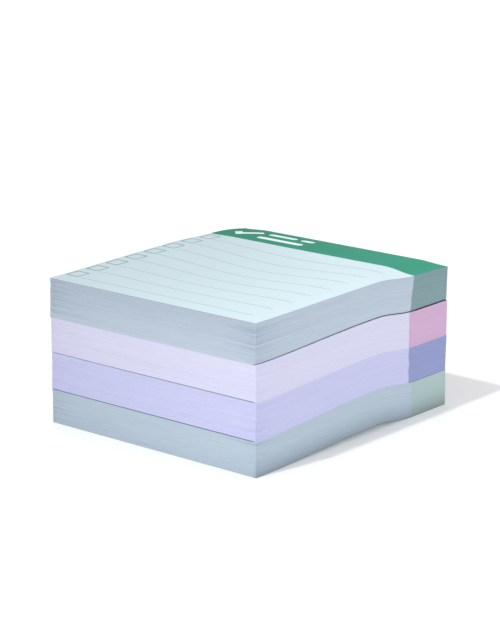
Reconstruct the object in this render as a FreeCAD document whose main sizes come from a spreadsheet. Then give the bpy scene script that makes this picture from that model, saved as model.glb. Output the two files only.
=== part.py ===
import FreeCAD, Part
import math
import os
import Sketcher

# A block of nearly square sticky notes: four stacked pads of a hundred sheets each. Every sheet is
# glued along its header edge only, so the loose part rises in a low wave in front of the glue. The
# glue also swells the top pad's header in the middle of its width, and thins out at its ends. In
# front of the swelling the top pad's loose sheets sag between its left and right edges.
# Frame: X along the header, Y from the free edge to the header, Z up, millimetres.
# Origin: middle of the block's footprint, on the surface it rests on.

# Driving dimensions. Each is set on its own.
SIZES = {
    "note_width": 76.0,           # along the header
    "note_depth": 80.0,           # free edge to header edge
    "sheets_per_pad": 100,
    "sheet_thickness": 0.1015,
    # The wave that every pad follows
    "foot_run": 6.3,              # flat stretch behind the free edge
    "glue_width": 14.7,           # stretch held down by the glue
    "crest_to_glue": 15.3,        # crest of the wave in front of the glue
    "wave_height": 1.45,
    "foot_lift": 0.25,            # share of the rise that its curve's first handle takes
    "loose_at_free_edge": 1.05,   # the top pad's sheets lie looser there
    "pressed_at_free_edge": 0.5,  # and the bottom pad's closer
    "sag": 1.5,                   # how far the top face's wave sinks in the middle of the width
    # The swelling of the top pad's header
    "glue_crown": 1.1,            # rise over the glue line in the middle of the width
    "left_crown": 0.9,            # what is left of it at the left end
    "crown_droop_run": 10.0,      # how far from each end the droop begins
    "corner_droop": 0.5,          # drop of the two back corners
    # How far each pad has slid out of line
    "top_slide_x": 0.3,
    "top_slide_y": 0.35,
    "second_slide_x": 0.2,
    "second_slide_y": 0.0,
    "third_slide_x": 0.0,
    "third_slide_y": -0.1,
    "bottom_slide_x": -0.3,
    "bottom_slide_y": -0.35,
    # Depth of the printed header, and so of the tint it gives the sheets' cut edges
    "top_header_depth": 15.0,
    "second_header_depth": 16.8,
    "third_header_depth": 16.7,
    "bottom_header_depth": 15.3,
    "tint_depth": 0.3,            # how deep the tinted cut edges are made
    # Print on the top sheet, one sheet thick
    "row_pitch": 7.65,
    "first_row": 5.3,             # first rule's middle, from the free edge
    "last_row_margin": 1.0,       # least bare paper between the last tick box and the header
    "rule_thickness": 0.25,
    "rule_start": 6.8,            # from the left edge
    "rule_margin": 5.5,           # bare paper right of the rules
    "tick_box_side": 4.7,
    "tick_box_line": 0.35,
    "tick_box_margin": 0.9,       # bare paper left of the boxes
    # Generic heading on the header: a tick mark and three rounded bars
    "heading_start": 3.8,         # from the left edge
    "heading_front": 3.5,         # heading's near edge behind the header's near edge
    "heading_height": 7.5,
    "stroke": 2.2,                # breadth of the tick mark's two strokes and of the bars
    "tick_short_reach": 3.0,      # how far the tick mark's short stroke goes to the left
    "heading_gap": 1.8,
    "long_bar": 17.0,
    "short_bar": 10.5,
}

OVERRUN = 2.0                     # how far a cutting tool runs past what it cuts
LATE_RISE = 0.9                   # share of the climb to the glue that the full sag puts off
DROOP_STEPS = 2                   # strips that round each end of the header's swelling
SAG_STEPS = 2                     # strips from where the swelling is full to the middle
PADS = ("bottom", "third", "second", "top")   # lowest first
TOP = len(PADS)                   # level of the block's top face

Vector = FreeCAD.Vector
doc = FreeCAD.newDocument("sticky_note_block")


def make_sheet():
    """The spreadsheet with one row and one alias for each driving dimension."""
    sheet = doc.addObject("Spreadsheet::Sheet", "Sizes")
    for row, (name, value) in enumerate(SIZES.items(), start=1):
        sheet.set(f"A{row}", name)
        sheet.set(f"B{row}", str(value))
        sheet.setAlias(f"B{row}", name)
    doc.recompute()
    return sheet


def cells(text):
    """An expression in which each driving dimension's name stands for its cell."""
    words = text.replace("(", "( ").replace(")", " )").split()
    return " ".join(f"Sizes.{word}" if word in SIZES else word for word in words)


sizes = make_sheet()

# Places that more than one piece uses, as expressions
LEFT = "( 0 - note_width / 2 )"
RIGHT = "( note_width / 2 )"
FREE_EDGE = "( 0 - note_depth / 2 )"
HEADER_EDGE = "( note_depth / 2 )"
FOOT_END = f"( {FREE_EDGE} + foot_run )"
GLUE_START = f"( {HEADER_EDGE} - glue_width )"
CREST = f"( {GLUE_START} - crest_to_glue )"
PAD_HEIGHT = "( sheets_per_pad * sheet_thickness )"
BLOCK_HEIGHT = f"( {TOP} * {PAD_HEIGHT} )"
BELOW = f"( 0 - {OVERRUN} )"
ROOF = f"( {BLOCK_HEIGHT} + wave_height + loose_at_free_edge + glue_crown + {OVERRUN} )"
SLANT = "cos( 45 )"               # share of a 45 degree length along each axis


def level_heights(level):
    """Heights of one boundary between pads: at the free edge, at the crest and over the glue."""
    flat = f"( {level} * {PAD_HEIGHT} )"
    free = {1: f"( {flat} - pressed_at_free_edge )", TOP: f"( {flat} + loose_at_free_edge )"}
    return free.get(level, flat), f"( {flat} + wave_height )", flat


class Profile:
    """A sketch across X whose points are all bound to the spreadsheet."""

    def __init__(self, body, name, x="0"):
        plane = next(f for f in body.Origin.OriginFeatures if f.Role == "YZ_Plane")
        self.sketch = body.newObject("Sketcher::SketchObject", name)
        self.sketch.AttachmentSupport = [(plane, "")]
        self.sketch.MapMode = "FlatFace"
        self.sketch.setExpression("AttachmentOffset.Base.z", cells(x))
        self.points = 0

    def pin(self, geometry, position, y, z):
        """Binds one point of the sketch to a Y and a Z expression."""
        self.points += 1
        for kind, axis, value in (("DistanceX", "y", y), ("DistanceY", "z", z)):
            name = f"{axis}{self.points}"
            index = self.sketch.addConstraint(Sketcher.Constraint(kind, -1, 1, geometry, position, 1.0))
            self.sketch.renameConstraint(index, name)
            self.sketch.setExpression(f"Constraints.{name}", cells(value))

    def line(self, start, end):
        """A straight edge between two points, each a pair of expressions."""
        edge = Part.LineSegment(Vector(self.points, 0, 0), Vector(self.points + 1, 1, 0))
        index = self.sketch.addGeometry(edge, False)
        self.pin(index, 1, *start)
        self.pin(index, 2, *end)

    def ease(self, poles):
        """A cubic curve with four poles, which lie evenly along Y."""
        curve = Part.BSplineCurve()
        places = [Vector(10 * n, n % 2, 0) for n in range(4)]
        curve.buildFromPolesMultsKnots(places, [4, 4], [0, 1], False, 3)
        index = self.sketch.addGeometry(curve, False)
        first_pole = self.sketch.GeometryCount
        self.sketch.exposeInternalGeometry(index)
        for n, (y, z) in enumerate(poles):
            self.pin(first_pole + n, 3, y, z)

    def outline(self, *corners):
        """Straight edges from corner to corner, left open after the last."""
        for start, end in zip(corners, corners[1:]):
            self.line(start, end)

    def rise(self, start, free, crest, sagged=0):
        """The wave's front: flat behind the free edge, then up or down to the crest."""
        third = f"( {CREST} - {FOOT_END} ) / 3"
        self.line((start, free), (FOOT_END, free))
        self.ease([
            (FOOT_END, free),
            (f"{FOOT_END} + {third}", f"{free} + {1 + sagged} * foot_lift * ( {crest} - {free} )"),
            (f"{CREST} - {third}", crest),
            (CREST, crest),
        ])

    def fall(self, crest, glue, sagged=0):
        """The wave's back: down or up from the crest to the glue line."""
        third = "crest_to_glue / 3"
        self.ease([
            (CREST, crest),
            (f"{CREST} + {third}", crest),
            (f"{GLUE_START} - {third}", f"{glue} + {LATE_RISE * sagged} * ( {crest} - {glue} )"),
            (GLUE_START, glue),
        ])

    def wave(self, level, start, end):
        """One boundary from the free edge to the header edge, and the two points it ends in."""
        free, crest, flat = level_heights(level)
        self.rise(start, free, crest)
        self.fall(crest, flat)
        self.line((GLUE_START, flat), (end, flat))
        return (start, free), (end, flat)


def loft_between(body, name, sections):
    """The body made solid from section to section, straight in between."""
    loft = body.newObject("PartDesign::AdditiveLoft", name)
    loft.Profile = sections[0]
    loft.Sections = sections[1:]
    loft.Ruled = True
    body.Tip = loft


def note_stack(level, pad):
    """One pad of sheets with square cut edges; the top one is left with a plain high roof."""
    body = doc.addObject("PartDesign::Body", f"{pad}_stack")
    start = f"( {FREE_EDGE} + {pad}_slide_y )"
    end = f"( {HEADER_EDGE} + {pad}_slide_y )"
    sections = []
    for side, x in (("left", LEFT), ("right", RIGHT)):
        profile = Profile(body, f"{pad}_{side}_edge", x)
        low_start, low_end = profile.wave(level, start, end)
        if level + 1 < TOP:
            high_start, high_end = profile.wave(level + 1, start, end)
        else:
            high_start, high_end = (start, ROOF), (end, ROOF)
            profile.line(high_start, high_end)
        profile.line(low_start, high_start)
        profile.line(low_end, high_end)
        sections.append(profile.sketch)
    loft_between(body, f"{pad}_sheets", sections)
    body.setExpression("Placement.Base.x", cells(f"{pad}_slide_x"))
    return body


def top_sections():
    """The top face's sections from left to right.

    Each has its X, its height over the glue line, its share of the corners' droop and of the sag.
    """
    left = [(f"{LEFT} - {OVERRUN}", "left_crown", 1, 0)]
    right = [(f"{RIGHT} + {OVERRUN}", "0", 1, 0)]
    for step in range(DROOP_STEPS + 1):
        run = step / DROOP_STEPS
        share = run * run * (3 - 2 * run)
        left_height = f"( left_crown + {share} * ( glue_crown - left_crown ) )"
        left.append((f"{LEFT} + {run} * crown_droop_run", left_height, 1 - share, 0))
        right.append((f"{RIGHT} - {run} * crown_droop_run", f"( {share} * glue_crown )", 1 - share, 0))
    for step in range(1, SAG_STEPS):
        run = step / SAG_STEPS
        share = (math.sin(run * math.pi / 2) + run * run * (3 - 2 * run)) / 2
        inward = f"( crown_droop_run + {run} * ( note_width / 2 - crown_droop_run ) )"
        left.append((f"{LEFT} + {inward}", "glue_crown", 0, share))
        right.append((f"{RIGHT} - {inward}", "glue_crown", 0, share))
    return [*left, ("0", "glue_crown", 0, 1), *reversed(right)]


def top_face():
    """Everything below the top face, past the paper's edges on all sides."""
    body = doc.addObject("PartDesign::Body", "top_face")
    free, unsagged, flat = level_heights(TOP)
    third = "glue_width / 3"
    start = f"( {FREE_EDGE} - {OVERRUN} )"
    end = f"( {HEADER_EDGE} + {OVERRUN} )"
    sections = []
    for n, (x, crown, droop, sagged) in enumerate(top_sections()):
        crest = f"( {unsagged} - {sagged} * sag )"
        glue = f"( {flat} + {crown} )"
        back = f"( {flat} - {droop} * corner_droop )"
        profile = Profile(body, f"top_section_{n}", x)
        profile.rise(start, free, crest, sagged)
        profile.fall(crest, glue, sagged)
        profile.ease([
            (GLUE_START, glue),
            (f"{GLUE_START} + {third}", glue),
            (f"{HEADER_EDGE} - {third}", f"( 2 * {glue} + {back} ) / 3"),
            (HEADER_EDGE, back),
        ])
        profile.outline((HEADER_EDGE, back), (end, back), (end, BELOW), (start, BELOW), (start, free))
        sections.append(profile.sketch)
    loft_between(body, "top_face_loft", sections)
    return body


def box(name, low, size):
    """A box whose low corner and sides are expressions."""
    shape = doc.addObject("Part::Box", name)
    for axis, value in zip("xyz", low):
        shape.setExpression(f"Placement.Base.{axis}", cells(value))
    for side, value in zip(("Length", "Width", "Height"), size):
        shape.setExpression(side, cells(value))
    return shape


def tall_box(name, x, y, length, width, overrun=OVERRUN):
    """A box for print: it stands through the whole block, whatever the block's height."""
    return box(name, (x, y, f"0 - {overrun}"), (length, width, f"{ROOF} + {2 * overrun}"))


def cut(name, base, tool):
    """base without tool."""
    result = doc.addObject("Part::Cut", name)
    result.Base = base
    result.Tool = tool
    return result


def common(name, base, tool):
    """What base and tool share."""
    result = doc.addObject("Part::Common", name)
    result.Base = base
    result.Tool = tool
    return result


def fuse(name, shapes):
    """Several shapes as one, whether or not they touch."""
    result = doc.addObject("Part::MultiFuse", name)
    result.Shapes = shapes
    return result


def header_line(pad):
    """Y of the near edge of a pad's printed header."""
    return f"( {HEADER_EDGE} + {pad}_slide_y - {pad}_header_depth )"


def tinted_edge_tool(level, pad):
    """A U-shaped wall round the header end of one pad, tint_depth inside its cut edges."""
    left = f"{LEFT} + {pad}_slide_x"
    near = header_line(pad)
    low = f"{level} * {PAD_HEIGHT} - {OVERRUN}"
    height = f"{PAD_HEIGHT} + wave_height + loose_at_free_edge + glue_crown + {2 * OVERRUN}"
    outside = box(
        f"{pad}_tint_outside",
        (f"{left} - {OVERRUN}", near, low),
        (f"note_width + {2 * OVERRUN}", f"{pad}_header_depth + {OVERRUN}", height),
    )
    inside = box(
        f"{pad}_tint_inside",
        (f"{left} + tint_depth", f"{near} - {OVERRUN}", f"{low} - {OVERRUN}"),
        (
            "note_width - 2 * tint_depth",
            f"{pad}_header_depth + {OVERRUN} - tint_depth",
            f"{height} + {2 * OVERRUN}",
        ),
    )
    return cut(f"{pad}_tint_wall", outside, inside)


TOP_LEFT = f"( {LEFT} + top_slide_x )"
TOP_FREE_EDGE = f"( {FREE_EDGE} + top_slide_y )"


def row_starts():
    """The near edge of each row: as many rows as fit between the free edge and the header."""
    last_start = sizes.note_depth - sizes.top_header_depth - sizes.last_row_margin - sizes.tick_box_side
    count = math.floor((last_start - sizes.first_row) / sizes.row_pitch) + 1
    return [(row, f"{TOP_FREE_EDGE} + first_row + {row} * row_pitch") for row in range(count)]


def tick_box_outlines():
    """Square outlines in a column along the left edge, each on its own row."""
    outlines = []
    for row, y in row_starts():
        x = f"{TOP_LEFT} + tick_box_margin"
        outer = tall_box(f"tick_box_outer_{row}", x, y, "tick_box_side", "tick_box_side")
        hole_side = "tick_box_side - 2 * tick_box_line"
        hole_x = f"{x} + tick_box_line"
        hole_y = f"{y} + tick_box_line"
        inner = tall_box(f"tick_box_inner_{row}", hole_x, hole_y, hole_side, hole_side, 2 * OVERRUN)
        outlines.append(cut(f"tick_box_outline_{row}", outer, inner))
    return fuse("tick_box_column", outlines)


def rule_strips():
    """One thin strip for each row, from beside the tick boxes to the right margin."""
    strips = []
    x = f"{TOP_LEFT} + rule_start"
    length = "note_width - rule_start - rule_margin"
    for row, y in row_starts():
        near = f"{y} - rule_thickness / 2"
        strips.append(tall_box(f"rule_{row}", x, near, length, "rule_thickness"))
    return fuse("rule_column", strips)


def rounded_bar(name, x, y, length):
    """A bar as broad as the stroke, with round ends."""
    middle = tall_box(f"{name}_middle", f"{x} + stroke / 2", y, f"{length} - stroke", "stroke")
    ends = []
    for side, centre in (("left", f"{x} + stroke / 2"), ("right", f"{x} + {length} - stroke / 2")):
        end = doc.addObject("Part::Cylinder", f"{name}_{side}_end")
        end.setExpression("Radius", cells("stroke / 2"))
        end.setExpression("Height", cells(f"{middle.Name}.Height"))
        end.setExpression("Placement.Base.x", cells(centre))
        end.setExpression("Placement.Base.y", cells(f"{y} + stroke / 2"))
        end.setExpression("Placement.Base.z", cells(f"0 - {OVERRUN}"))
        ends.append(end)
    return [middle, *ends]


def tick_mark(foot_x, foot_y, long_reach):
    """A short and a long stroke that rise at 45 degrees to the left and right of one foot."""
    strokes = []
    for name, turn, reach in (("short", 135, "tick_short_reach"), ("long", 45, long_reach)):
        stroke = tall_box(f"tick_{name}_stroke", foot_x, foot_y, f"{reach} / {SLANT}", "stroke")
        stroke.setExpression("Placement.Rotation.Angle", str(turn))
        strokes.append(stroke)
    return strokes


def heading_shapes():
    """The heading: a tick mark, then a long bar in front and two shorter bars behind it."""
    x = f"{TOP_LEFT} + heading_start"
    y = f"{header_line('top')} + heading_front"
    corner = f"stroke * {SLANT}"
    long_reach = f"( heading_height - 2 * {corner} )"
    foot_x = f"{x} + tick_short_reach + {corner}"
    bars_x = f"{foot_x} + {long_reach} + heading_gap"
    back_y = f"{y} + heading_height - stroke"
    far_x = f"{bars_x} + short_bar + heading_gap"
    shapes = tick_mark(foot_x, f"{y} + {corner}", long_reach)
    shapes += rounded_bar("front_bar", bars_x, y, "long_bar")
    shapes += rounded_bar("back_bar", bars_x, back_y, "short_bar")
    shapes += rounded_bar("far_bar", far_x, back_y, "( long_bar - short_bar - heading_gap )")
    return fuse("heading_outline", shapes)


stacks = {pad: note_stack(level, pad) for level, pad in enumerate(PADS)}
tints = {pad: tinted_edge_tool(level, pad) for level, pad in enumerate(PADS)}
below_top_face = top_face()
stacks["top"] = common("top_stack_below_face", stacks["top"], below_top_face)

# The same face one sheet lower: what a print outline has above it lies in the top sheet
below_top_sheet = doc.addObject("Part::Compound", "below_top_sheet")
below_top_sheet.Links = [below_top_face]
below_top_sheet.setExpression("Placement.Base.z", cells("0 - sheet_thickness"))

header_outline = tall_box(
    "header_outline",
    f"{TOP_LEFT} - {OVERRUN}",
    header_line("top"),
    f"note_width + {2 * OVERRUN}",
    f"top_header_depth + {OVERRUN}",
)
header_tool = cut("header_tool", header_outline, below_top_sheet)
heading_tool = cut("heading_tool", heading_shapes(), below_top_sheet)
tick_box_tool = cut("tick_box_tool", tick_box_outlines(), below_top_sheet)
rule_tool = cut("rule_tool", rule_strips(), below_top_sheet)

# The pieces: each pad, the tint on its header's cut edges, and the top sheet's print
nodes = {}
for pad in PADS[:-1]:
    nodes[f"{pad}_pad"] = cut(f"{pad}_pad", stacks[pad], tints[pad])
    nodes[f"{pad}_pad_header_edge"] = common(f"{pad}_pad_header_edge", stacks[pad], tints[pad])

printed = fuse("printed", [header_tool, tick_box_tool, rule_tool])
top_below_print = cut("top_below_print", stacks["top"], printed)
nodes["top_pad"] = cut("top_pad", top_below_print, tints["top"])
top_edge = common("top_edge", stacks["top"], tints["top"])
nodes["top_pad_header_edge"] = cut("top_pad_header_edge", top_edge, header_tool)
header_sheet = common("header_sheet", stacks["top"], header_tool)
nodes["header_print"] = cut("header_print", header_sheet, heading_tool)
nodes["heading_mark"] = common("heading_mark", stacks["top"], heading_tool)
nodes["tick_boxes"] = common("tick_boxes", stacks["top"], tick_box_tool)
nodes["rule_lines"] = common("rule_lines", stacks["top"], rule_tool)

for name, node in nodes.items():
    node.Label = name

doc.recompute()

for item in doc.Objects:
    if "Invalid" in item.State or "Error" in item.State:
        raise SystemExit(f"{item.Label} failed: {item.State}")
for name, node in nodes.items():
    if node.Shape.isNull() or not node.Shape.isValid() or not node.Shape.Solids:
        raise SystemExit(f"{name} has no valid solid")

os.makedirs("parts", exist_ok=True)
for name, node in nodes.items():
    node.Shape.exportStep(f"parts/{name}.step")
    bounds = node.Shape.BoundBox
    print(
        f"{name}: {len(node.Shape.Solids)} solids, {node.Shape.Volume:.2f} mm3,",
        f"x {bounds.XMin:.2f} to {bounds.XMax:.2f}, y {bounds.YMin:.2f} to {bounds.YMax:.2f},",
        f"z {bounds.ZMin:.2f} to {bounds.ZMax:.2f}",
    )
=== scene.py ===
import math

import bpy
import numpy as np
from mathutils import Matrix


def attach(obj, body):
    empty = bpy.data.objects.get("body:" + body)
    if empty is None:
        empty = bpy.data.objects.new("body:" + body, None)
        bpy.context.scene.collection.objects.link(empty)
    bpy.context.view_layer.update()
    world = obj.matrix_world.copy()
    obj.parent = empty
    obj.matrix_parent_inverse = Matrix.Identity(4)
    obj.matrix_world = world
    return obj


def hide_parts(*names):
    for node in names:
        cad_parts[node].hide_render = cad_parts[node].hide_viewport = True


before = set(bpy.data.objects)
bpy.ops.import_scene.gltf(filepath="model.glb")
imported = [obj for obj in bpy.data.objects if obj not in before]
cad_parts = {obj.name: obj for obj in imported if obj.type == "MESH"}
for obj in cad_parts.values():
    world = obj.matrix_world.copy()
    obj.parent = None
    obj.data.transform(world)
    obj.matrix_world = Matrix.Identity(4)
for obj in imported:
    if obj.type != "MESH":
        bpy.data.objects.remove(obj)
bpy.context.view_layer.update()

# A block of sticky notes: four pads of a hundred sheets, each a stack of separately laid cut edges
# that follow one low wave, with tinted edges round the glued header and print on the top sheet.
# Frame: X along the header, Y from the free edge to the header, Z up, metres.

MM = 0.001
SEED = 41

# The block
NOTE_WIDTH = 76.0 * MM
NOTE_DEPTH = 80.0 * MM
SHEETS_PER_PAD = 100
PAD_HEIGHT = 10.15 * MM
PADS = ("bottom", "third", "second", "top")
TOP_LEVEL = len(PADS)
LEFT = -NOTE_WIDTH / 2
RIGHT = NOTE_WIDTH / 2
FREE_EDGE = -NOTE_DEPTH / 2
HEADER_EDGE = NOTE_DEPTH / 2

# The wave that every sheet follows
FOOT_END = FREE_EDGE + 6.3 * MM
GLUE_LINE = HEADER_EDGE - 14.7 * MM
CREST = GLUE_LINE - 15.3 * MM
WAVE_HEIGHT = 1.45 * MM
FOOT_LIFT = 0.25                  # share of the rise that its curve's first handle takes
LOOSE_AT_FREE_EDGE = 1.05 * MM
PRESSED_AT_FREE_EDGE = 0.5 * MM

# The sag of the top face's wave in the middle of the width
SAG = 1.5 * MM
LATE_RISE = 0.9                   # share of the climb to the glue that the full sag puts off

# The swelling of the top pad's header
GLUE_CROWN = 1.1 * MM
LEFT_CROWN = 0.9 * MM
CROWN_DROOP_RUN = 10.0 * MM
CORNER_DROOP = 0.5 * MM

# Where the lowest and the highest sheet of each pad lie, so that a pad leans a little
SHEET_PLACES = {
    "top": ((-0.05 * MM, 0.05 * MM), (0.29 * MM, 0.34 * MM)),
    "second": ((0.08 * MM, -0.12 * MM), (0.25 * MM, 0.1 * MM)),
    "third": ((-0.25 * MM, -0.3 * MM), (0.1 * MM, 0.0)),
    "bottom": ((-0.29 * MM, -0.34 * MM), (-0.17 * MM, -0.2 * MM)),
}

# Cut edges
SHEET_ROOM = 0.05 * MM            # how far the furthest sheet stays inside its pad's outline
SHEET_SHIFT = 0.020 * MM          # how unevenly the sheets are knocked up
SHEET_TURN = 0.022 * MM           # what a sheet's turn adds at the free edge
SHEET_LIP = 0.08                  # share of a sheet's thickness that its rounded lips take
WANDER_SHARE = 0.35               # of the unevenness: a slow wander through the pad
JITTER_SHARE = 0.6                # and the fine jitter from sheet to sheet
CORNER_FRAY = {                   # how far single sheets stand back at the free corners
    "top": 0.09 * MM, "second": 0.04 * MM, "third": 0.05 * MM, "bottom": 0.05 * MM,
}
FRAY_REACH = 8.0 * MM

# The gap under each pad: how many sheets it takes and how dark its painted shade is, on the front and on
# the right; the sheets there also stand back for real
GAPS = {
    "top": ((0.0, 0.0), (2.7, 1.0)),
    "second": ((2.1, 0.80), (0.8, 0.12)),
    "third": ((2.3, 0.90), (1.2, 0.18)),
    "bottom": ((0.0, 0.0), (2.5, 0.5)),
}
GAP_INSET = 0.10 * MM             # how far the sheets at a full gap stand back
GAP_AT_LEFT = 0.75                # share of the front gap's tone that is left at the left corner
GAP_AT_FREE_EDGE = 0.65           # share of the right gap's depth that is left at the free edge
# Painted shade: the highest pad is painted darker towards its top, its last sheets darker still, and the
# lowest pad darker towards the floor
UPPER_PAINTED_SHADE = 0.13                # how much the highest pad darkens towards its top
RIM_PAINTED_SHADE = 0.12                  # and how much more its last sheets do
RIM_SHEETS = 2
UPPER_SHADE_RIGHT = 0.35          # share of both on the right
FLOOR_PAINTED_SHADE = 0.38                # how much the lowest pad darkens towards the floor
FLOOR_SHADE_FRONT = 0.25          # share of it in front
FLOOR_SHADE_REACH = 0.7           # share of the pad

# Printed header, and the tint that it gives the cut edges
HEADER_DEPTH = 15.0 * MM          # on the top sheet
PRINT_LINES = {                   # where the print starts on a pad's lowest and highest sheets
    "top": (23.95 * MM, 25.3 * MM), "second": (23.2 * MM, 23.2 * MM),
    "third": (23.2 * MM, 23.2 * MM), "bottom": (24.3 * MM, 24.3 * MM),
}
PRINT_WANDER = {"top": 0.10 * MM, "second": 0.16 * MM, "third": 0.20 * MM, "bottom": 0.30 * MM}
TINT_PROUD = 0.012 * MM           # how far the tinted band stands out from the cut edges
TINT_DEPTH = 0.3 * MM             # and how far it reaches into the pad
BAND_CLEARANCE = 0.5 * MM         # from the furthest print line to the band's next station

# Print on the top sheet
ROW_COUNT = 8
ROW_PITCH = 7.65 * MM
FIRST_ROW = 5.3 * MM
RULE_THICKNESS = 0.25 * MM
RULE_START = 6.8 * MM
RULE_MARGIN = 5.5 * MM
TICK_BOX_SIDE = 4.7 * MM
TICK_BOX_LINE = 0.35 * MM
TICK_BOX_MARGIN = 0.9 * MM
HEADING_START = 3.8 * MM
HEADING_FRONT = 3.5 * MM
HEADING_HEIGHT = 7.5 * MM
STROKE = 2.2 * MM
TICK_SHORT_REACH = 3.0 * MM
HEADING_GAP = 1.8 * MM
LONG_BAR = 17.0 * MM
SHORT_BAR = 10.5 * MM
FILM_LIFT = 0.012 * MM            # ink stands this far above the sheet
FILM_BED = 0.03 * MM              # and reaches this far into it
TOP_ROOM = 0.03 * MM              # how far the top sheet lies under the block's full height

# Stations of the grids
STATIONS_X = 44
STATIONS_Y = 64
EVEN_SHARE = 0.6                  # the rest of the spread draws the stations to the ends
HEADER_STATIONS = (90, 24)
RULE_STATIONS = (60, 2)
ROUND_STATIONS = 9
BAR_STATIONS = 12
STROKE_STATIONS = 7
OUTLINE_STEPS = 6                 # along each side of a tick box or half of the tick mark
BLUNT_END = 0.04                  # share of a bar's radius that is left at its very end
TINY = 0.001 * MM                 # tolerance for telling on which side a point lies
SHARP_ANGLE = math.radians(25)

# Tones: painted light, how much brighter the paper, its edges and the inks are painted at the right than
# at the left, and the painted shade in the gaps
PAPER_PAINTED_LIGHT = 0.17
FACE_PAINTED_LIGHT = 0.26
PAPER_PAINTED_GAP_SHADE = (0.04, 0.045, 0.09)
TINT_PAINTED_GAP_SHADE = (0.045, 0.02, 0.04)

# Paper: how its streaks, clouds and fibres are drawn out, and how much they show
STREAK_SCALES = ((18.0, 92.0), (70.0, 34.0))   # along the sheets in metres, across them in pads
STREAK_SHARES = (0.6, 0.4)
STREAK_RANGE = (0.34, 0.62)
EDGE_CONTRAST = 0.35
EDGE_ROUGHNESS = (0.82, 0.12)     # least, and what the streaks add
CLOUD_SCALE = 140.0
FIBRE_SCALE = 2600.0
FACE_RANGE = (0.35, 0.65)
FACE_CONTRAST = 0.5
FACE_ROUGHNESS = (0.72, 0.2)      # least, and what the fibres add
PAPER_GLOSS = 0.25
BUMP_STRENGTH = 0.4
EDGE_BUMP = 0.03 * MM
FACE_BUMP = 0.01 * MM

# Floor and light
FLOOR_REACH = 3.0
FLOOR_COLOUR = (0.86, 0.86, 0.86)
FLOOR_ROUGHNESS = 0.9
FLOOR_LIFT = 0.145
AMBIENT = 0.74
SUN_STRENGTH = 1.2
SUN_SOFTNESS = math.radians(2.5)
SUN_TRAVEL = (0.10, 0.58, -1.0)
FILL_POWER = 0.09
FILL_PLACE = (0.33, 0.05, 0.045)
FILL_WIDTH = 0.35
FILL_HEIGHT = 0.06

rng = np.random.default_rng(SEED)


def smooth(share):
    """Smoothstep: 3 s squared minus 2 s cubed, with s held between 0 and 1."""
    share = np.clip(share, 0.0, 1.0)
    return share * share * (3.0 - 2.0 * share)


def climbed(y, start, end, first, second):
    """How far a cubic curve has climbed at y: 3 s (1-s)^2 first + 3 s^2 (1-s) second + s^3."""
    share = np.clip((y - start) / (end - start), 0.0, 1.0)
    rest = 1.0 - share
    return 3 * share * rest**2 * first + 3 * share**2 * rest * second + share**3


def wave(y, free, crest, glue, foot_lift=FOOT_LIFT, late_rise=0.0):
    """Heights along a wave: flat foot, a cubic to the crest, another one to the glue line."""
    rise = climbed(y, FOOT_END, CREST, foot_lift, 1.0)
    fall = climbed(y, CREST, GLUE_LINE, 0.0, 1.0 - late_rise)
    return np.where(y < CREST, free + (crest - free) * rise, crest + (glue - crest) * fall)


def boundary_height(level, x, y):
    """Height of one boundary between pads: a wave along Y.

    On the top level the glue line swells by the crown, whose share of the width is a smoothstep in
    from each end, and falls behind the glue line with the square of the distance from it. In front
    of it the wave sags towards the middle of the width: its share there is the mean of a smoothstep
    and a quarter sine wave.
    """
    flat = level * PAD_HEIGHT - (TOP_ROOM if level == TOP_LEVEL else 0.0)
    if level < TOP_LEVEL:
        free = flat - PRESSED_AT_FREE_EDGE if level == 1 else flat
        return wave(y, free, flat + WAVE_HEIGHT, flat)
    free = flat + LOOSE_AT_FREE_EDGE
    inside_right = smooth((RIGHT - x) / CROWN_DROOP_RUN)
    inside_left = smooth((x - LEFT) / CROWN_DROOP_RUN)
    at_ends = (1.0 - inside_right) + (1.0 - inside_left)
    glue = flat + GLUE_CROWN * inside_right - (GLUE_CROWN - LEFT_CROWN) * (1.0 - inside_left)
    back = flat - CORNER_DROOP * at_ends
    edge = wave(y, free, flat + WAVE_HEIGHT, glue)
    middle = wave(y, free, flat + WAVE_HEIGHT - SAG, glue, 2.0 * FOOT_LIFT, LATE_RISE)
    inward = np.clip((RIGHT - CROWN_DROOP_RUN - np.abs(x)) / (RIGHT - CROWN_DROOP_RUN), 0.0, 1.0)
    sagged = (smooth(inward) + np.sin(inward * math.pi / 2)) / 2
    behind = np.clip((y - GLUE_LINE) / (HEADER_EDGE - GLUE_LINE), 0.0, 1.0)
    return edge + (middle - edge) * sagged + (back - glue) * behind**2


def sheet_height(level, share, x, y):
    """Height within a pad: a straight mix of the boundaries below and above it."""
    low = boundary_height(level, x, y)
    return low + (boundary_height(level + 1, x, y) - low) * share


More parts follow.
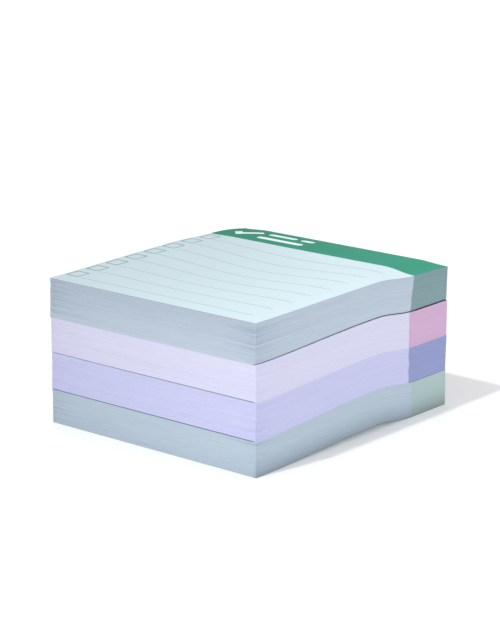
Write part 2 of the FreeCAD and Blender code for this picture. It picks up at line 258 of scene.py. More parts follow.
class Pad:
    """Where a pad lies, and how each of its sheets is shifted, turned and frayed.

    Every sheet is moved as one: by its shift, and by its turn times the distance from the header.
    Shifts are a slow wander through the pad plus a fine jitter, both normally distributed.
    """

    def __init__(self, name):
        self.name = name
        self.level = PADS.index(name)
        count = SHEETS_PER_PAD
        low, high = np.array(SHEET_PLACES[name])
        self.slide = low[:, None] + (high - low)[:, None] * np.linspace(0.0, 1.0, count)
        self.shift = np.stack([self.wander(count), self.wander(count)])
        self.turn = np.stack([self.wander(count), self.wander(count)]) * SHEET_TURN / SHEET_SHIFT
        self.fray = rng.normal(0.0, 1.0, (2, count)) * CORNER_FRAY[name]
        self.print_shift = self.wander(count) * PRINT_WANDER[name] / SHEET_SHIFT

    @staticmethod
    def wander(count):
        """A slow random walk, levelled and scaled, plus fine jitter."""
        walk = np.cumsum(rng.normal(0.0, 1.0, count))
        walk -= np.linspace(walk[0], walk[-1], count)
        walk /= max(walk.std(), 1e-9)
        return (walk * WANDER_SHARE + rng.normal(0.0, JITTER_SHARE, count)) * SHEET_SHIFT

    def gap(self, sheet, x, y):
        """How dark the painted shade of the gap under the pad is on its wall: each side's own depth in
        sheets and tone.

        Towards the near right corner the front's gap grows to its full tone; behind the crest the
        right side's gap grows to its full depth.
        """
        (front_sheets, front_tone), (right_sheets, right_tone) = GAPS[self.name]
        on_side = np.abs(x) > RIGHT - TINY
        from_left = smooth((x - LEFT) / NOTE_WIDTH)
        from_front = smooth((y - FREE_EDGE) / (GLUE_LINE - FREE_EDGE))
        front_tone = front_tone * (GAP_AT_LEFT + (1.0 - GAP_AT_LEFT) * from_left)
        right_sheets = right_sheets * (GAP_AT_FREE_EDGE + (1.0 - GAP_AT_FREE_EDGE) * from_front)
        front = np.clip(front_sheets - sheet, 0.0, 1.0) * front_tone
        right = np.clip(right_sheets - sheet, 0.0, 1.0) * right_tone
        return np.where(on_side, right, front)

    def shade(self, sheet, x, y):
        """The gap's painted shade, or the softer painted shade on the lowest and the highest pad where
        that is more.

        The highest pad is painted darker upwards, and its last sheets more so; the lowest one is painted
        darker towards the floor with the square of the nearness, on the right much more than in front.
        """
        share = sheet / SHEETS_PER_PAD
        on_side = np.abs(x) > RIGHT - TINY
        soft = 0.0
        if self.name == "top":
            rim = np.where(sheet >= SHEETS_PER_PAD - RIM_SHEETS, RIM_PAINTED_SHADE, 0.0)
            soft = np.where(on_side, UPPER_SHADE_RIGHT, 1.0) * (UPPER_PAINTED_SHADE * share + rim)
        if self.name == "bottom":
            near_floor = np.clip(1.0 - share / FLOOR_SHADE_REACH, 0.0, 1.0) ** 2
            soft = np.where(on_side, 1.0, FLOOR_SHADE_FRONT) * FLOOR_PAINTED_SHADE * near_floor
        return np.maximum(self.gap(sheet, x, y), soft)

    def place(self, sheet, x, y, rim=0.0):
        """Where points of a sheet's plan lie once the sheet is shifted, turned and frayed."""
        looseness = (HEADER_EDGE - y) / NOTE_DEPTH
        move_x = self.shift[0][sheet] + self.turn[0][sheet] * looseness
        move_y = self.shift[1][sheet] + self.turn[1][sheet] * x / NOTE_WIDTH
        moved_x = np.clip(x + move_x, LEFT - rim, RIGHT + rim) * (1.0 - SHEET_ROOM / NOTE_WIDTH)
        moved_y = np.clip(y + move_y, FREE_EDGE, HEADER_EDGE + rim) * (1.0 - SHEET_ROOM / NOTE_DEPTH)
        on_side = np.abs(x) > RIGHT - TINY
        on_end = np.abs(y) > HEADER_EDGE - TINY
        inset = self.gap(sheet, x, y) * GAP_INSET
        moved_x = moved_x - np.sign(x) * inset * on_side
        moved_y = moved_y - np.sign(y) * inset * on_end
        for corner, side in enumerate((LEFT, RIGHT)):
            near = np.exp(-(np.abs(x - side) + np.abs(y - FREE_EDGE)) / FRAY_REACH)
            inward = -np.abs(self.fray[corner][sheet]) * near
            moved_x = moved_x + inward * np.sign(side) * on_side
            moved_y = moved_y - inward * (y < FREE_EDGE + TINY)
        return moved_x + self.slide[0][sheet], moved_y + self.slide[1][sheet]


def make_mesh(name, vertices, faces, face_kinds, materials, uv=None, gap=None):
    """A mesh object from arrays: points, faces and their material indices, UV and painted shade tone by
    point.
    """
    mesh = bpy.data.meshes.new(name)
    mesh.from_pydata(vertices.tolist(), [], faces.tolist())
    for material in materials:
        mesh.materials.append(material)
    mesh.polygons.foreach_set("material_index", np.asarray(face_kinds, np.int32))
    if uv is not None:
        corners = np.empty(len(mesh.loops), np.int32)
        mesh.loops.foreach_get("vertex_index", corners)
        layer = mesh.uv_layers.new(name="sheet_map")
        layer.data.foreach_set("uv", uv[corners].ravel().astype(np.float32))
    if gap is not None:
        # painted shade of each point, which the cut edges' material reads
        tone = mesh.attributes.new("gap", "FLOAT", "POINT")
        tone.data.foreach_set("value", gap.astype(np.float32))
    mesh.polygons.foreach_set("use_smooth", np.ones(len(mesh.polygons), bool))
    mesh.set_sharp_from_angle(angle=SHARP_ANGLE)
    mesh.update()
    piece = bpy.data.objects.new(name, mesh)
    bpy.context.scene.collection.objects.link(piece)
    return piece


def stacked_rows():
    """Sheet numbers and shares of a pad's height for the rows of its wall, two rows a sheet."""
    sheets = np.repeat(np.arange(SHEETS_PER_PAD), 2)
    lips = np.tile([SHEET_LIP, 1.0 - SHEET_LIP], SHEETS_PER_PAD)
    lips[0] = 0.0
    lips[-1] = 1.0
    return sheets, (sheets + lips) / SHEETS_PER_PAD


def wall_faces(rows, columns):
    """Quads between stacked closed loops of points, facing out of loops that run anticlockwise."""
    row, column = np.meshgrid(np.arange(rows - 1), np.arange(columns), indexing="ij")
    after = (column + 1) % columns
    quads = [row * columns + column, row * columns + after,
             (row + 1) * columns + after, (row + 1) * columns + column]
    return np.stack(quads, -1).reshape(-1, 4)


def pad_stations():
    """Stations across and along a pad: evenly spread, with a few more close to the ends."""
    def spread(low, high, count):
        share = np.linspace(0.0, 1.0, count + 1)
        eased = 0.5 - 0.5 * np.cos(math.pi * share)
        return low + (high - low) * (EVEN_SHARE * share + (1.0 - EVEN_SHARE) * eased)
    return spread(LEFT, RIGHT, STATIONS_X), spread(FREE_EDGE, HEADER_EDGE, STATIONS_Y)


def sheet_map(travel, heights):
    """UV of a wall: metres along the sheets, and pads up from the floor."""
    along, up = np.broadcast_arrays(travel[None, :], heights[:, None])
    return np.stack([along, up], -1).reshape(-1, 2)


def pad_body(pad, edge_material, face_material):
    """A whole pad: a wall of stacked sheet edges round the plan, closed by its top and bottom faces.

    The wall is one closed loop of stations for each row, moved as that row's sheet is. The faces are
    grids over the same stations, whose rims are the wall's first and last loops.
    """
    across, along = pad_stations()
    nx, ny = len(across) - 1, len(along) - 1
    loop_x = np.concatenate([across[:-1], np.full(ny, RIGHT), across[:0:-1], np.full(ny, LEFT)])
    loop_y = np.concatenate([np.full(nx, FREE_EDGE), along[:-1], np.full(nx, HEADER_EDGE), along[:0:-1]])
    columns = len(loop_x)
    sheets, shares = stacked_rows()
    sheet = sheets[:, None]
    x, y = pad.place(sheet, loop_x[None, :], loop_y[None, :])
    z = sheet_height(pad.level, shares[:, None], x, y)
    # painted shade of the wall: the gaps' tone and the upper and floor shade; the faces get none
    gap = [pad.shade(sheet, loop_x[None, :], loop_y[None, :]).ravel()]
    points = [np.stack([x, y, z], -1).reshape(-1, 3)]
    travel = np.concatenate([[0.0], np.cumsum(np.hypot(np.diff(loop_x), np.diff(loop_y)))])
    uv = [sheet_map(travel, pad.level + shares)]
    faces = [wall_faces(len(shares), columns)]
    kinds = [np.zeros(len(faces[0]), int)]
    count = len(points[0])
    for row, share, upward in ((0, 0.0, False), (len(shares) - 1, 1.0, True)):
        inner_x, inner_y = np.meshgrid(across[1:-1], along[1:-1], indexing="ij")
        fx, fy = pad.place(np.array(sheets[row]), inner_x, inner_y)
        fz = sheet_height(pad.level, share, fx, fy)
        index = np.empty((nx + 1, ny + 1), int)
        rim = row * columns + np.arange(columns)
        index[:-1, 0] = rim[:nx]
        index[-1, :-1] = rim[nx:nx + ny]
        index[:0:-1, -1] = rim[nx + ny:2 * nx + ny]
        index[0, :0:-1] = rim[2 * nx + ny:]
        index[1:-1, 1:-1] = count + np.arange((nx - 1) * (ny - 1)).reshape(nx - 1, ny - 1)
        count += (nx - 1) * (ny - 1)
        quads = [index[:-1, :-1], index[1:, :-1], index[1:, 1:], index[:-1, 1:]]
        face = np.stack(quads if upward else quads[::-1], -1).reshape(-1, 4)
        points.append(np.stack([fx, fy, fz], -1).reshape(-1, 3))
        uv.append(np.stack([fx, fy], -1).reshape(-1, 2))
        gap.append(np.zeros(fx.size))
        faces.append(face)
        kinds.append(np.ones(len(face), int))
    return make_mesh(f"{pad.name}_pad_sheets", np.concatenate(points), np.concatenate(faces),
                     np.concatenate(kinds), [edge_material, face_material], np.concatenate(uv),
                     np.concatenate(gap))


def header_edge(pad, material):
    """The tinted cut edges: a thin U-shaped band of sheet edges round the header end of a pad.

    Each row is a closed loop: out along the wall and back TINT_DEPTH inside it. The two ends of a
    row move along Y with that sheet's printing, so the boundary is as ragged as the print.
    """
    across, along = pad_stations()
    low_line, high_line = PRINT_LINES[pad.name]
    line = HEADER_EDGE - HEADER_DEPTH
    side = np.concatenate([[line], along[along > max(low_line, high_line) + BAND_CLEARANCE]])
    out_x = np.concatenate([np.full(len(side), RIGHT), across[-2:0:-1], np.full(len(side), LEFT)])
    out_y = np.concatenate([side, np.full(len(across) - 2, HEADER_EDGE), side[::-1]])
    sheets, shares = stacked_rows()
    sheet = sheets[:, None]
    ragged = low_line + (high_line - low_line) * sheet / SHEETS_PER_PAD + pad.print_shift[sheet]
    starts = (np.abs(out_y - line) < TINY)[None, :]
    x, y = pad.place(sheet, out_x[None, :], out_y[None, :])
    y = np.where(starts, ragged, y)
    on_right = (np.abs(out_x - RIGHT) < TINY)[None, :]
    on_left = (np.abs(out_x - LEFT) < TINY)[None, :]
    on_back = (np.abs(out_y - HEADER_EDGE) < TINY)[None, :]
    outer_x = x + TINT_PROUD * on_right - TINT_PROUD * on_left
    outer_y = y + TINT_PROUD * on_back
    inner_x = x - TINT_DEPTH * on_right + TINT_DEPTH * on_left
    inner_y = y - TINT_DEPTH * on_back
    loop_x = np.concatenate([outer_x, inner_x[:, ::-1]], 1)
    loop_y = np.concatenate([outer_y, inner_y[:, ::-1]], 1)
    loop_z = sheet_height(pad.level, shares[:, None], loop_x, loop_y)
    columns = loop_x.shape[1]
    points = np.stack([loop_x, loop_y, loop_z], -1).reshape(-1, 3)
    travel = np.cumsum(np.hypot(np.diff(out_x), np.diff(out_y)))
    travel = np.concatenate([[0.0], travel])
    uv = sheet_map(np.concatenate([travel, travel[::-1]]), pad.level + shares)
    # painted shade of the tinted band
    gap = pad.shade(sheet, out_x[None, :], out_y[None, :])
    gap = np.concatenate([gap, gap[:, ::-1]], 1)
    half = columns // 2
    step = np.arange(half - 1)
    strip = np.stack([step, step + 1, columns - 2 - step, columns - 1 - step], -1)
    top = strip + (len(shares) - 1) * columns
    faces = np.concatenate([wall_faces(len(shares), columns), strip[:, ::-1], top])
    return make_mesh(f"{pad.name}_pad_tinted_edge", points, faces, np.zeros(len(faces), int),
                     [material], uv, gap.ravel())


def film(name, grids, material, lift=FILM_LIFT):
    """Printed shapes on the top sheet, each a grid of plan points made a thin closed solid.

    Every plan point is moved as the top sheet is. The upper side lies lift above the sheet and the
    lower one FILM_BED inside it; a wrapped grid closes on itself, as a ring does.
    """
    points, faces, count = [], [], 0
    pad = pads["top"]
    top_sheet = np.array(SHEETS_PER_PAD - 1)
    for plan_x, plan_y, wrapped in grids:
        x, y = pad.place(top_sheet, plan_x, plan_y, TINT_PROUD)
        z = boundary_height(TOP_LEVEL, x, y)
        rows, columns = x.shape
        upper = count + np.arange(rows * columns).reshape(rows, columns)
        lower = upper + rows * columns
        points.append(np.stack([x, y, z + lift], -1).reshape(-1, 3))
        points.append(np.stack([x, y, z - FILM_BED], -1).reshape(-1, 3))
        count += 2 * rows * columns
        if wrapped:
            upper = np.concatenate([upper, upper[:1]])
            lower = np.concatenate([lower, lower[:1]])
        area = ((x[1, 0] - x[0, 0]) * (y[0, 1] - y[0, 0]) - (y[1, 0] - y[0, 0]) * (x[0, 1] - x[0, 0]))
        if area < 0:
            upper, lower = upper[:, ::-1], lower[:, ::-1]
        top = np.stack([upper[:-1, :-1], upper[1:, :-1], upper[1:, 1:], upper[:-1, 1:]], -1)
        under = np.stack([lower[:-1, :-1], lower[:-1, 1:], lower[1:, 1:], lower[1:, :-1]], -1)
        faces += [top.reshape(-1, 4), under.reshape(-1, 4)]
        rims = [(upper[:, 0], lower[:, 0], False), (upper[:, -1], lower[:, -1], True)]
        if not wrapped:
            rims += [(upper[0], lower[0], True), (upper[-1], lower[-1], False)]
        for high, low, turned in rims:
            quads = [low[:-1], low[1:], high[1:], high[:-1]]
            faces.append(np.stack(quads[::-1] if turned else quads, -1))
    points, faces = np.concatenate(points), np.concatenate(faces)
    return make_mesh(name, points, faces, np.zeros(len(faces), int), [material], points[:, :2])


def rectangle(low_x, high_x, low_y, high_y, stations):
    """A rectangle of plan points, with so many stations along X and Y."""
    across = np.linspace(low_x, high_x, stations[0])
    along = np.linspace(low_y, high_y, stations[1])
    plan_x, plan_y = np.meshgrid(across, along, indexing="ij")
    return plan_x, plan_y, False


def bar(low_x, low_y, length):
    """A bar with round ends: its half breadth at each station is that of a circle near the ends."""
    turn = np.linspace(0.0, math.pi / 2, ROUND_STATIONS)
    radius = STROKE / 2
    start = radius * (1.0 - np.cos(turn))
    middle = np.linspace(radius, length - radius, BAR_STATIONS)[1:-1]
    stations = np.concatenate([start, middle, length - start[::-1]])
    past = np.maximum(radius - stations, stations - (length - radius))
    half = np.sqrt(np.maximum(radius**2 - np.maximum(past, 0.0)**2, (BLUNT_END * radius)**2))
    across = np.linspace(-1.0, 1.0, STROKE_STATIONS)
    plan_x = low_x + np.repeat(stations[:, None], len(across), 1)
    plan_y = low_y + radius + half[:, None] * across[None, :]
    return plan_x, plan_y, False


def square_outline(low_x, low_y, side, line):
    """A square ring: stations run round its middle line and reach half a line to either side."""
    share = np.linspace(0.0, 1.0, OUTLINE_STEPS + 1)[:-1]
    zero, one = np.zeros(OUTLINE_STEPS), np.ones(OUTLINE_STEPS)
    unit_x = np.concatenate([share, one, 1.0 - share, zero]) - 0.5
    unit_y = np.concatenate([zero, share, one, 1.0 - share]) - 0.5
    sizes = np.array([side, side - 2 * line])
    plan_x = low_x + side / 2 + unit_x[:, None] * sizes[None, :]
    plan_y = low_y + side / 2 + unit_y[:, None] * sizes[None, :]
    return plan_x, plan_y, True


def tick(low_x, low_y):
    """A tick mark: one stroke along three points, with square ends and a mitred foot."""
    slant = math.sqrt(0.5)
    foot = np.array([low_x + TICK_SHORT_REACH, low_y + STROKE * slant])
    up_left, up_right = np.array([-slant, slant]), np.array([slant, slant])
    short_end = foot + up_left * (TICK_SHORT_REACH / slant - STROKE / 2)
    long_end = foot + up_right * (HEADING_HEIGHT / slant - 2 * STROKE + STROKE / 2)
    half = STROKE / 2
    across_foot = (up_right + up_left) * half
    low_side = [short_end - up_right * half, foot - across_foot, long_end - up_left * half]
    high_side = [short_end + up_right * half, foot + across_foot, long_end + up_left * half]
    share = np.linspace(0.0, 1.0, OUTLINE_STEPS + 1)[:, None]
    sides = []
    for corners in (low_side, high_side):
        first = corners[0] + (corners[1] - corners[0]) * share
        second = corners[1] + (corners[2] - corners[1]) * share
        sides.append(np.concatenate([first, second[1:]]))
    grid = np.stack([sides[0], (sides[0] + sides[1]) / 2, sides[1]], 1)
    return grid[..., 0], grid[..., 1], False


PAPER_INPUTS = [
    ("Paper", "NodeSocketColor", (0.8, 0.8, 0.8, 1.0)),
    ("Shade", "NodeSocketColor", (0.5, 0.5, 0.5, 1.0)),
    ("Contrast", "NodeSocketFloat", 0.5),
    # the share of painted light across the block, lighter at the right
    ("Painted Light", "NodeSocketFloat", 0.0),
]
PAPER_OUTPUTS = [
    ("Color", "NodeSocketColor"),
    ("Height", "NodeSocketFloat"),
    ("Roughness", "NodeSocketFloat"),
]


def new_group(name, inputs, outputs):
    """An empty shader node group with its inputs and outputs, each a name, a kind and a value."""
    group = bpy.data.node_groups.new(name, "ShaderNodeTree")
    for label, kind, value in inputs:
        socket = group.interface.new_socket(label, in_out="INPUT", socket_type=kind)
        socket.default_value = value
    for label, kind in outputs:
        group.interface.new_socket(label, in_out="OUTPUT", socket_type=kind)
    return group, group.nodes.new("NodeGroupInput"), group.nodes.new("NodeGroupOutput")


def node(tree, kind, **values):
    """A node with some of its settings and unlinked inputs set by name."""
    made = tree.nodes.new(kind)
    for name, value in values.items():
        if hasattr(made, name):
            setattr(made, name, value)
        else:
            made.inputs[name.replace("_", " ")].default_value = value
    return made


def maths(tree, operation, first, second):
    """A Math node fed by links or numbers, and its output."""
    made = tree.nodes.new("ShaderNodeMath")
    made.operation = operation
    for socket, value in zip(made.inputs, (first, second)):
        if isinstance(value, (int, float)):
            socket.default_value = value
        else:
            tree.links.new(value, socket)
    return made.outputs[0]


def painted_light_across(group, colour, drift):
    """Painted light: a colour times 1 plus drift times the place across the block, from -0.5 left to 0.5
    right.
    """
    links = group.links
    place = node(group, "ShaderNodeTexCoord")
    parts = node(group, "ShaderNodeSeparateXYZ")
    links.new(place.outputs["Object"], parts.inputs["Vector"])
    across = maths(group, "MULTIPLY", parts.outputs["X"], 1.0 / NOTE_WIDTH)
    scale = maths(group, "ADD", 1.0, maths(group, "MULTIPLY", across, drift))
    made = node(group, "ShaderNodeVectorMath", operation="SCALE")
    links.new(colour, made.inputs[0])
    links.new(scale, made.inputs["Scale"])
    return made.outputs[0]


def cut_edge_group():
    """Streaks of stacked sheets: noise drawn out along the sheets, a fine one and a broad one.

    The gap attribute mixes painted shade, the colour of the shade between two pads and of the other
    painted darkening, over the streaks; painted light then lightens the colour towards the right.
    """
    gap_input = ("Painted Gap Shade", "NodeSocketColor", (0.05, 0.06, 0.12, 1.0))
    group, enter, leave = new_group("cut_edge_streaks", [*PAPER_INPUTS, gap_input], PAPER_OUTPUTS)
    links = group.links
    uv = node(group, "ShaderNodeUVMap", uv_map="sheet_map")
    streaks = []
    for (along, across), weight in zip(STREAK_SCALES, STREAK_SHARES):
        mapping = node(group, "ShaderNodeMapping")
        mapping.inputs["Scale"].default_value = (along, across, 1.0)
        links.new(uv.outputs["UV"], mapping.inputs["Vector"])
        noise = node(group, "ShaderNodeTexNoise", Scale=1.0, Detail=2.0, Roughness=0.6)
        links.new(mapping.outputs["Vector"], noise.inputs["Vector"])
        streaks.append(maths(group, "MULTIPLY", noise.outputs["Fac"], weight))
    both = maths(group, "ADD", *streaks)
    ramp = node(group, "ShaderNodeMapRange", From_Min=STREAK_RANGE[0], From_Max=STREAK_RANGE[1])
    links.new(both, ramp.inputs["Value"])
    shade = maths(group, "SUBTRACT", 1.0, ramp.outputs["Result"])
    amount = maths(group, "MULTIPLY", shade, enter.outputs["Contrast"])
    mix = node(group, "ShaderNodeMix", data_type="RGBA")
    links.new(amount, mix.inputs["Factor"])
    links.new(enter.outputs["Paper"], mix.inputs["A"])
    links.new(enter.outputs["Shade"], mix.inputs["B"])
    # painted shade: the gap attribute mixes the colour towards the gap's shade colour
    attribute = node(group, "ShaderNodeAttribute", attribute_name="gap")
    gap = node(group, "ShaderNodeMix", data_type="RGBA")
    links.new(attribute.outputs["Fac"], gap.inputs["Factor"])
    links.new(painted_light_across(group, mix.outputs["Result"], enter.outputs["Painted Light"]), gap.inputs["A"])
    links.new(enter.outputs["Painted Gap Shade"], gap.inputs["B"])
    links.new(gap.outputs["Result"], leave.inputs["Color"])
    links.new(both, leave.inputs["Height"])
    rougher = maths(group, "MULTIPLY", shade, EDGE_ROUGHNESS[1])
    links.new(maths(group, "ADD", EDGE_ROUGHNESS[0], rougher), leave.inputs["Roughness"])
    return group


def paper_face_group():
    """The face of uncoated paper: faint cloudiness and fine fibres, from the object's coordinates, with
    painted light that brightens it towards the right.
    """
    group, enter, leave = new_group("paper_face", PAPER_INPUTS, PAPER_OUTPUTS)
    links = group.links
    place = node(group, "ShaderNodeTexCoord")
    clouds = node(group, "ShaderNodeTexNoise", Scale=CLOUD_SCALE, Detail=4.0, Roughness=0.6)
    fibres = node(group, "ShaderNodeTexNoise", Scale=FIBRE_SCALE, Detail=3.0, Roughness=0.7)
    for noise in (clouds, fibres):
        links.new(place.outputs["Object"], noise.inputs["Vector"])
    both = maths(group, "ADD", maths(group, "MULTIPLY", clouds.outputs["Fac"], 0.5),
                 maths(group, "MULTIPLY", fibres.outputs["Fac"], 0.5))
    ramp = node(group, "ShaderNodeMapRange", From_Min=FACE_RANGE[0], From_Max=FACE_RANGE[1])
    links.new(both, ramp.inputs["Value"])
    amount = maths(group, "MULTIPLY", ramp.outputs["Result"], enter.outputs["Contrast"])
    mix = node(group, "ShaderNodeMix", data_type="RGBA")
    links.new(amount, mix.inputs["Factor"])
    links.new(enter.outputs["Paper"], mix.inputs["A"])
    links.new(enter.outputs["Shade"], mix.inputs["B"])
    links.new(painted_light_across(group, mix.outputs["Result"], enter.outputs["Painted Light"]), leave.inputs["Color"])
    links.new(fibres.outputs["Fac"], leave.inputs["Height"])
    rougher = maths(group, "MULTIPLY", fibres.outputs["Fac"], FACE_ROUGHNESS[1])
    links.new(maths(group, "ADD", FACE_ROUGHNESS[0], rougher), leave.inputs["Roughness"])
    return group


def finish(name, group, light, dark, contrast, bump, drift=PAPER_PAINTED_LIGHT, gap=None):
    """A material whose colour, roughness and bump come from one of the paper groups."""
    material = bpy.data.materials.new(name)
    material.use_nodes = True
    tree = material.node_tree
    shader = tree.nodes["Principled BSDF"]
    shader.inputs["Specular IOR Level"].default_value = PAPER_GLOSS
    pattern = tree.nodes.new("ShaderNodeGroup")
    pattern.node_tree = group
    pattern.inputs["Paper"].default_value = (*light, 1.0)
    pattern.inputs["Shade"].default_value = (*dark, 1.0)
    pattern.inputs["Contrast"].default_value = contrast
    # painted light: how much lighter the colour is painted towards the right
    pattern.inputs["Painted Light"].default_value = drift
    # painted shade: the colour that the gap attribute mixes in
    if gap is not None:
        pattern.inputs["Painted Gap Shade"].default_value = (*gap, 1.0)
    relief = node(tree, "ShaderNodeBump", Strength=BUMP_STRENGTH, Distance=bump)
    tree.links.new(pattern.outputs["Height"], relief.inputs["Height"])
    tree.links.new(pattern.outputs["Color"], shader.inputs["Base Color"])
    tree.links.new(pattern.outputs["Roughness"], shader.inputs["Roughness"])
    tree.links.new(relief.outputs["Normal"], shader.inputs["Normal"])
    return material


cut_edge = cut_edge_group()
paper_face = paper_face_group()

# Colours in linear light, a light and a dark one for each: of the cut edges, the tinted edges, the
# pads' own faces and the inks
EDGE_COLOURS = {
    "top": ((0.531, 0.619, 0.722), (0.366, 0.433, 0.527)),
    "second": ((0.709, 0.713, 0.888), (0.577, 0.561, 0.752)),
    "third": ((0.606, 0.621, 0.873), (0.475, 0.481, 0.731)),
    "bottom": ((0.497, 0.596, 0.691), (0.356, 0.437, 0.513)),
}
TINT_COLOURS = {
    "top": ((0.242, 0.371, 0.391), (0.166, 0.271, 0.287)),
    "second": ((0.653, 0.444, 0.646), (0.542, 0.338, 0.531)),
    "third": ((0.318, 0.359, 0.625), (0.240, 0.270, 0.505)),
    "bottom": ((0.449, 0.580, 0.581), (0.331, 0.442, 0.448)),
}
FACE_COLOURS = {
    "top": ((0.619, 0.754, 0.800), (0.596, 0.730, 0.780)),
    "second": ((0.82, 0.82, 0.97), (0.79, 0.79, 0.95)),
    "third": ((0.66, 0.68, 0.92), (0.63, 0.65, 0.90)),
    "bottom": ((0.70, 0.86, 0.90), (0.67, 0.83, 0.88)),
}
INK_COLOURS = {
    "green_ink": ((0.034, 0.290, 0.190), (0.027, 0.245, 0.158)),
    "unprinted_heading": ((0.85, 0.95, 0.96), (0.80, 0.92, 0.94)),
    "tick_box_ink": ((0.13, 0.28, 0.29), (0.20, 0.36, 0.37)),
    "rule_ink": ((0.34, 0.46, 0.50), (0.41, 0.53, 0.57)),
}
# painted light: the green ink is painted lighter towards the right
GREEN_PAINTED_LIGHT = 0.40
LINE_CONTRAST = 0.6
TINT_SLOTS = {"top": "green_tinted_edge", "second": "pink_tinted_edge",
              "third": "violet_tinted_edge", "bottom": "mint_tinted_edge"}
PAPER_SLOTS = {"top": "aqua_paper", "second": "pale_lilac_paper",
               "third": "periwinkle_paper", "bottom": "aqua_paper"}

pads = {name: Pad(name) for name in PADS}


def settle(piece, slot, *nodes):
    """Ties a piece to the block and hides the nodes that it stands for."""
    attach(piece, "root")
    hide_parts(*nodes)


for name, pad in pads.items():
    edges = finish(f"{name}_cut_edges", cut_edge, *EDGE_COLOURS[name], EDGE_CONTRAST, EDGE_BUMP,
                   gap=PAPER_PAINTED_GAP_SHADE)
    face = finish(f"{name}_paper_face", paper_face, *FACE_COLOURS[name], FACE_CONTRAST, FACE_BUMP,
                  drift=FACE_PAINTED_LIGHT)
    tint = finish(f"{name}_tinted_edges", cut_edge, *TINT_COLOURS[name], EDGE_CONTRAST, EDGE_BUMP,
                  gap=TINT_PAINTED_GAP_SHADE)
    settle(pad_body(pad, edges, face), PAPER_SLOTS[name], f"{name}_pad")
    settle(header_edge(pad, tint), TINT_SLOTS[name], f"{name}_pad_header_edge")


def ink(name, contrast, drift=PAPER_PAINTED_LIGHT):
    """The finish of one ink."""
    return finish(name, paper_face, *INK_COLOURS[name], contrast, FACE_BUMP, drift=drift)


def printed_pieces():
    """The printed header, its heading, the tick boxes and the rules."""
    line = HEADER_EDGE - HEADER_DEPTH
    rim = TINT_PROUD
    green = ink("green_ink", FACE_CONTRAST, GREEN_PAINTED_LIGHT)
    white = ink("unprinted_heading", FACE_CONTRAST)
    box_ink = ink("tick_box_ink", LINE_CONTRAST)
    rule_ink = ink("rule_ink", LINE_CONTRAST)
    band = rectangle(LEFT - rim, RIGHT + rim, line, HEADER_EDGE + rim, HEADER_STATIONS)
    settle(film("header_ink", [band], green), "green_ink", "header_print")
    x, y = LEFT + HEADING_START, line + HEADING_FRONT
    slant = math.sqrt(0.5)
    bars_x = x + TICK_SHORT_REACH + HEADING_HEIGHT - STROKE * slant + HEADING_GAP
    back_y = y + HEADING_HEIGHT - STROKE
    shapes = [
        tick(x, y),
        bar(bars_x, y, LONG_BAR),
        bar(bars_x, back_y, SHORT_BAR),
        bar(bars_x + SHORT_BAR + HEADING_GAP, back_y, LONG_BAR - SHORT_BAR - HEADING_GAP),
    ]
    settle(film("heading_shapes", shapes, white, lift=2 * FILM_LIFT), "white_heading", "heading_mark")
    rows = FREE_EDGE + FIRST_ROW + np.arange(ROW_COUNT) * ROW_PITCH
    left = LEFT + TICK_BOX_MARGIN
    boxes = [square_outline(left, row, TICK_BOX_SIDE, TICK_BOX_LINE) for row in rows]
    settle(film("tick_box_outlines", boxes, box_ink), "tick_box_ink", "tick_boxes")
    ends = LEFT + RULE_START, RIGHT - RULE_MARGIN
    half = RULE_THICKNESS / 2
    rules = [rectangle(*ends, row - half, row + half, RULE_STATIONS) for row in rows]
    settle(film("ruled_lines", rules, rule_ink), "rule_ink", "rule_lines")


printed_pieces()


def seen_rays(tree):
    """1 on rays from the camera, on mirror rays and on rays through clear things; else 0."""
    path = tree.nodes.new("ShaderNodeLightPath")
    mirrored = maths(tree, "MAXIMUM", path.outputs["Is Glossy Ray"], path.outputs["Is Transmission Ray"])
    return maths(tree, "MAXIMUM", path.outputs["Is Camera Ray"], mirrored)


def ground():
    """The floor: pale, and lifted towards white for seen rays only, so that it keeps the shadow."""
    mesh = bpy.data.meshes.new("floor")
    reach = FLOOR_REACH
    corners = [(-reach, -reach, 0), (reach, -reach, 0), (reach, reach, 0), (-reach, reach, 0)]
    mesh.from_pydata(corners, [], [(0, 1, 2, 3)])
    floor = bpy.data.objects.new("floor", mesh)
    bpy.context.scene.collection.objects.link(floor)
    material = bpy.data.materials.new("pale_floor")
    material.use_nodes = True
    tree = material.node_tree
    shader = tree.nodes["Principled BSDF"]
    shader.inputs["Base Color"].default_value = (*FLOOR_COLOUR, 1.0)
    shader.inputs["Roughness"].default_value = FLOOR_ROUGHNESS
    glow = node(tree, "ShaderNodeEmission", Color=(1.0, 1.0, 1.0, 1.0))
    lift = maths(tree, "MULTIPLY", seen_rays(tree), FLOOR_LIFT)
    both = tree.nodes.new("ShaderNodeAddShader")
    tree.links.new(lift, glow.inputs["Strength"])
    tree.links.new(shader.outputs[0], both.inputs[0])
    tree.links.new(glow.outputs[0], both.inputs[1])
    tree.links.new(both.outputs[0], tree.nodes["Material Output"].inputs["Surface"])
    mesh.materials.append(material)


def aim(thing, place, direction):
    """Puts a light or camera at a place, looking along a direction with Z up."""
    forward = np.array(direction, float) / np.linalg.norm(direction)
    side = np.cross(forward, (0.0, 0.0, 1.0))
    side /= np.linalg.norm(side)
    up = np.cross(side, forward)
    turn = Matrix((side, up, -forward)).transposed().to_4x4()
    thing.matrix_world = Matrix.Translation(place) @ turn


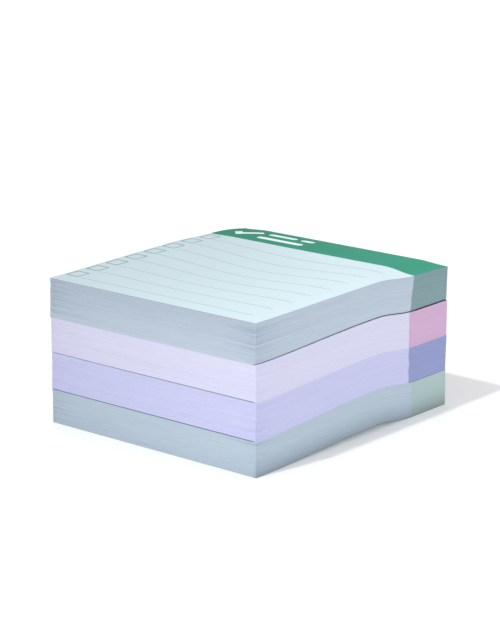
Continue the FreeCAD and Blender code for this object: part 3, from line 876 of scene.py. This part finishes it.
def lights():
    """A soft low key from the free edge's side, a nearer soft fill from the right, and the room."""
    sun = bpy.data.lights.new("key", "SUN")
    sun.energy = SUN_STRENGTH
    sun.angle = SUN_SOFTNESS
    key = bpy.data.objects.new("key", sun)
    bpy.context.scene.collection.objects.link(key)
    aim(key, -np.array(SUN_TRAVEL), SUN_TRAVEL)
    area = bpy.data.lights.new("fill", "AREA")
    area.energy = FILL_POWER
    area.shape = "RECTANGLE"
    area.size = FILL_WIDTH
    area.size_y = FILL_HEIGHT
    fill = bpy.data.objects.new("fill", area)
    bpy.context.scene.collection.objects.link(fill)
    aim(fill, FILL_PLACE, -np.array(FILL_PLACE))
    world = bpy.data.worlds.new("room")
    bpy.context.scene.world = world
    world.use_nodes = True
    tree = world.node_tree
    backdrop = tree.nodes["Background"]
    backdrop.inputs["Color"].default_value = (1.0, 1.0, 1.0, 1.0)
    strength = node(tree, "ShaderNodeMix", data_type="FLOAT")
    strength.inputs["A"].default_value = AMBIENT
    strength.inputs["B"].default_value = 1.0
    tree.links.new(seen_rays(tree), strength.inputs["Factor"])
    tree.links.new(strength.outputs["Result"], backdrop.inputs["Strength"])


def camera():
    """The photograph's viewpoint."""
    focal_pixels = 2444.4
    image_height = 625.0
    yaw, pitch, roll = math.radians(-42.324), math.radians(15.524), math.radians(-1.360)
    place = np.array((440.19, -483.07, 210.81)) * MM
    flat = math.cos(pitch)
    forward = np.array((math.sin(yaw) * flat, math.cos(yaw) * flat, -math.sin(pitch)))
    level = np.array((math.cos(yaw), -math.sin(yaw), 0.0))
    upright = np.cross(level, forward)
    side = math.cos(roll) * level + math.sin(roll) * upright
    up = math.cos(roll) * upright - math.sin(roll) * level
    data = bpy.data.cameras.new("camera")
    data.sensor_width = 36.0
    data.lens = focal_pixels * data.sensor_width / image_height
    data.clip_start = 0.01
    data.clip_end = 20.0
    view = bpy.data.objects.new("camera", data)
    bpy.context.scene.collection.objects.link(view)
    turn = Matrix((side, up, -forward)).transposed().to_4x4()
    view.matrix_world = Matrix.Translation(place) @ turn
    bpy.context.scene.camera = view


ground()
lights()
camera()
bpy.context.scene.view_settings.view_transform = "Standard"
